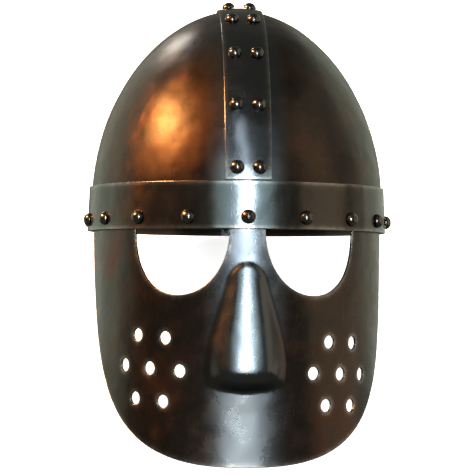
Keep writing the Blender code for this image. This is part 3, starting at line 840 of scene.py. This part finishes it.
    # Hammer marks about 11 mm across, fine pits drawn at about 1 mm to show, and the scratches
    marks = add_node(tree, "ShaderNodeTexVoronoi",
                     {"Vector": upright, "Scale": 1 / HAMMER_MARK, "Smoothness": 1.0},
                     feature="SMOOTH_F1")
    dents = add_node(tree, "ShaderNodeBump",
                     {"Height": marks.outputs["Distance"], "Strength": 1.0,
                      "Distance": HAMMER_MARK_DEPTH})
    grain = add_node(tree, "ShaderNodeTexNoise",
                     {"Vector": upright, "Scale": 1 / GRAIN, "Detail": 3.0})
    grainy = add_node(tree, "ShaderNodeBump",
                      {"Height": grain.outputs["Fac"], "Strength": 1.0,
                       "Distance": GRAIN_DEPTH, "Normal": dents.outputs[0]})
    scored = add_node(tree, "ShaderNodeBump",
                      {"Height": lines, "Strength": 1.0, "Distance": SCRATCH_DEPTH,
                       "Normal": grainy.outputs[0]}, invert=True)
    tree.links.new(scored.outputs[0], shader.inputs["Normal"])
    return material


def rivet_steel():
    """Round-head mild steel rivets, set hot and rubbed smooth. They are darker in the pits and
    brighter than the plates where they are rubbed, with small sharp reflections."""
    material = bpy.data.materials.new("rubbed_steel_rivets")
    material.use_nodes = True
    tree = material.node_tree
    shader = tree.nodes["Principled BSDF"]
    shader.inputs["Metallic"].default_value = 1.0
    place = add_node(tree, "ShaderNodeTexCoord").outputs["Object"]

    # Scale left from the forge, mottled at about 2.5 mm
    mottle = add_node(tree, "ShaderNodeTexNoise",
                      {"Vector": place, "Scale": 1 / FORGE_MOTTLE, "Detail": 4.0,
                       "Roughness": 0.6})
    share = add_node(tree, "ShaderNodeMapRange",
                     {"Value": mottle.outputs["Fac"], "From Min": 0.35, "From Max": 0.65})
    colour = add_node(tree, "ShaderNodeMix",
                      {"Factor": share.outputs[0], MIX_A: linear("#403c3a"),
                       MIX_B: linear("#6b6660")},
                      data_type="RGBA")
    tree.links.new(colour.outputs[MIXED], shader.inputs["Base Color"])
    sheen = add_node(tree, "ShaderNodeMapRange",
                     {"Value": mottle.outputs["Fac"], "From Min": 0.3, "From Max": 0.7,
                      "To Min": 0.19, "To Max": 0.12})
    tree.links.new(sheen.outputs[0], shader.inputs["Roughness"])

    # Flats left by the setting hammer, about 2 mm across
    flats = add_node(tree, "ShaderNodeTexVoronoi",
                     {"Vector": place, "Scale": 1 / HAMMER_FLAT, "Smoothness": 1.0},
                     feature="SMOOTH_F1")
    bump = add_node(tree, "ShaderNodeBump",
                    {"Height": flats.outputs["Distance"], "Strength": 1.0,
                     "Distance": HAMMER_FLAT_DEPTH})
    tree.links.new(bump.outputs[0], shader.inputs["Normal"])
    return material


def upright_point(x, y, z):
    """A point of the upright helmet, where it is once the helmet lies at rest."""
    return REST @ Vector((x, y, z))


def add_camera():
    """The camera stands 1.3 m in front of the face, a little below the brow and a little to
    the wearer's right."""
    distance, swing, height = 1.336, math.radians(3.64), -0.0298
    pan, tilt, roll = math.radians(3.67), math.radians(1.15), math.radians(0.52)
    ahead = Vector((math.sin(pan) * math.cos(tilt), math.cos(pan) * math.cos(tilt),
                    math.sin(tilt)))
    right = ahead.cross(Vector((0, 0, 1))).normalized()
    up = right.cross(ahead)
    turned_right = math.cos(roll) * right + math.sin(roll) * up
    turned_up = math.cos(roll) * up - math.sin(roll) * right
    turn = REST.to_3x3() @ Matrix((turned_right, turned_up, -ahead)).transposed()
    place = upright_point(-distance * math.sin(swing), -distance * math.cos(swing), height)
    data = bpy.data.cameras.new("camera")
    data.sensor_width = 36.0
    data.lens = 145.8
    data.clip_start = 0.05
    data.clip_end = 60.0
    camera = bpy.data.objects.new("camera", data)
    camera.matrix_world = Matrix.Translation(place) @ turn.to_4x4()
    bpy.context.scene.collection.objects.link(camera)
    bpy.context.scene.camera = camera


# Where the lights are turned to on the upright helmet, unless the table gives another spot
BROW = (0, -0.12, 0)

# What the steel mirrors: the azimuth, elevation and distance from the helmet, the width and
# height, the watts and the colour, and for two of them the spot that they are placed from
MIRRORED_LIGHTS = (
    ("right_wall", 71, 14, 1.8, 1.3, 2.4, 7.8, "#ffe9cf", None),
    ("right_corner", 111, 24, 1.8, 0.8, 2.0, 1.5, "#f4e8cf", None),
    ("right_step", 100, -12, 1.8, 0.7, 0.7, 1.2, "#ffe9cf", None),
    ("left_wall", -112, -2, 1.9, 0.8, 1.7, 3.2, "#d3dcc8", None),
    ("window", 2, 5, 1.45, 0.13, 0.56, 16.5, "#e6f1ff", None),
    ("window_rail_26", 0, 26, 1.45, 0.05, 0.33, 1.1, "#e6f1ff", None),
    ("window_rail_38", -4, 38, 1.45, 0.05, 0.33, 1.1, "#e6f1ff", None),
    ("window_foot", 2, -15, 1.45, 0.07, 0.36, 2.9, "#f2f2ee", None),
    ("warm_shelf", -92, 12, 1.3, 0.3, 0.3, 0.6, "#f08a40", None),
    ("window_glow", 0, 10, 1.9, 1.7, 0.55, 8.4, "#cde8e6", None),
    ("window_sill", 0, -8, 1.9, 0.42, 0.8, 0.9, "#d6e4e2", None),
    ("warm_lamp", -84, 35, 1.1, 0.44, 0.25, 34, "#ffb56a", (-0.051, -0.092, 0.070)),
    ("warm_wall", -70, 37, 1.5, 1.5, 1.1, 20, "#e07a38", None),
    ("pale_ceiling", -150, 41, 1.4, 0.25, 0.25, 4, "#e8e6df", (-0.043, -0.052, 0.124)),
)

# The floor, and how far it stays under the helmet's lowest points
FLOOR_REACH = 8
FLOOR_GAP = 0.0004


def from_helmet(azimuth, elevation, distance, start=(0, 0, 0)):
    """A place seen from a point of the upright helmet, azimuth 0 being straight ahead."""
    azimuth, elevation = math.radians(azimuth), math.radians(elevation)
    way = Vector((math.sin(azimuth) * math.cos(elevation),
                  -math.cos(azimuth) * math.cos(elevation), math.sin(elevation)))
    return upright_point(*(Vector(start) + distance * way))


def add_light(name, place, target, width, height, watts, colour, seen_in_steel=True):
    """A soft rectangular light at a place, turned to a target."""
    data = bpy.data.lights.new(name, "AREA")
    data.shape = "RECTANGLE"
    data.size = width
    data.size_y = height
    data.energy = watts
    data.color = linear(colour)[:3]
    light = bpy.data.objects.new(name, data)
    aim = REST.to_3x3().inverted() @ (target - place)
    turn = REST.to_quaternion() @ aim.to_track_quat("-Z", "Y")
    light.rotation_euler = turn.to_euler()
    light.location = place
    light.visible_camera = False
    light.visible_glossy = seen_in_steel
    bpy.context.scene.collection.objects.link(light)


def add_floor():
    """A pale floor with a faint glow of its own, so that it stays pale inside the helmet."""
    mesh = bpy.data.meshes.new("floor")
    far = FLOOR_REACH
    corners = [(-far, -far, 0), (far, -far, 0), (far, far, 0), (-far, far, 0)]
    mesh.from_pydata(corners, [], [(0, 1, 2, 3)])
    floor = bpy.data.objects.new("floor", mesh)
    floor.location.z = cad_box[0][2] - FLOOR_GAP
    bpy.context.scene.collection.objects.link(floor)
    material = bpy.data.materials.new("pale_paper_floor")
    material.use_nodes = True
    shader = material.node_tree.nodes["Principled BSDF"]
    shader.inputs["Base Color"].default_value = linear("#f4f4f2")
    shader.inputs["Roughness"].default_value = 1.0
    shader.inputs["Specular IOR Level"].default_value = 0.0
    shader.inputs["Emission Color"].default_value = linear("#ffffff")
    shader.inputs["Emission Strength"].default_value = 0.86
    mesh.materials.append(material)
    floor.visible_glossy = False
    floor.visible_diffuse = False


def add_studio():
    """Soft daylight, with what the steel mirrors all round it as soft lights."""
    world = bpy.data.worlds.new("studio")
    world.use_nodes = True
    background = world.node_tree.nodes["Background"]
    background.inputs["Color"].default_value = linear("#74736a")
    background.inputs["Strength"].default_value = 0.95
    bpy.context.scene.world = world
    bpy.context.scene.view_settings.view_transform = "Standard"
    ground = Vector((0, 0, 0))
    add_light("floor_light", Vector((0, 0.2, 2.6)), ground, 3.0, 3.0, 90, "#ffffff",
              seen_in_steel=False)
    for side, watts in ((-1, 6.4), (1, 5.2)):
        add_light(f"low_side_light_{side}", Vector((side * 1.2, 0.25, 0.22)), ground, 1.2, 0.4,
                  9, "#ffffff", seen_in_steel=False)
        add_light(f"back_wall_{side}", from_helmet(side * 138, 16, 1.9), upright_point(*BROW),
                  1.6, 1.6, watts, "#d3e0cb")
    for name, azimuth, elevation, distance, width, height, watts, colour, spot in MIRRORED_LIGHTS:
        start, target = (spot, spot) if spot else ((0, 0, 0), BROW)
        add_light(name, from_helmet(azimuth, elevation, distance, start),
                  upright_point(*target), width, height, watts, colour)


def main():
    add_camera()
    skull = blackened_steel("oil_blackened_steel_skull", "#332e2a", "#483a30", "#5e3a28",
                            "#8f8b86", tarnish_amount=0.6, rough=0.31)
    band = blackened_steel("oil_blackened_steel_band", "#45423e", "#4b433c", "#5c4232",
                           "#a09c97", tarnish_amount=0.3, rough=0.22)
    mask = blackened_steel("oil_blackened_steel_mask", "#3a3632", "#483a32", "#5a3828",
                           "#98938d", tarnish_amount=0.8, rough=0.27)
    rivet = rivet_steel()
    pieces = [
        (brow_band(band), "band_steel", ["brow_band"]),
        (comb_band(band), "band_steel", ["comb_band"]),
        (skull_half("skull_left_formed", 1, skull), "skull_steel", ["skull_left"]),
        (skull_half("skull_right_formed", -1, skull), "skull_steel", ["skull_right"]),
        (face_mask(mask), "mask_steel", ["face_mask"]),
    ]

    # The front brow rivets go through the band, the skull and the mask, the others through two
    tree = rivet_tree()
    front, rear = brow_rivet_arcs()
    for name, arcs, plates, seed in (("brow_rivets_front", front, 3, 3),
                                     ("brow_rivets_rear", rear, 2, 4)):
        row = rivet_row(name, tree, band_face, arcs, [BROW_RIVET_HEIGHT] * len(arcs), plates,
                        seed, rivet)
        numbers = [round((arc % RIM.total) / BROW_PITCH) + 1 for arc in arcs]
        pieces.append((row, "rivet_steel", [f"brow_rivet_{number:02d}" for number in numbers]))
    arcs = comb_rivet_arcs()
    for name, side, seed in (("comb_rivets_left", 1, 5), ("comb_rivets_right", -1, 6)):
        across = [side * COMB_RIVET_SPREAD / 2] * len(arcs)
        row = rivet_row(name, tree, comb_face, across, arcs, 2, seed, rivet)
        stem = name.replace("rivets", "rivet")
        nodes = [f"{stem}_{i + 1:02d}" for i in range(len(arcs))]
        pieces.append((row, "rivet_steel", nodes))
    for piece, slot, nodes in pieces:
        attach(piece, "root")
        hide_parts(*nodes)
    add_floor()
    add_studio()


main()
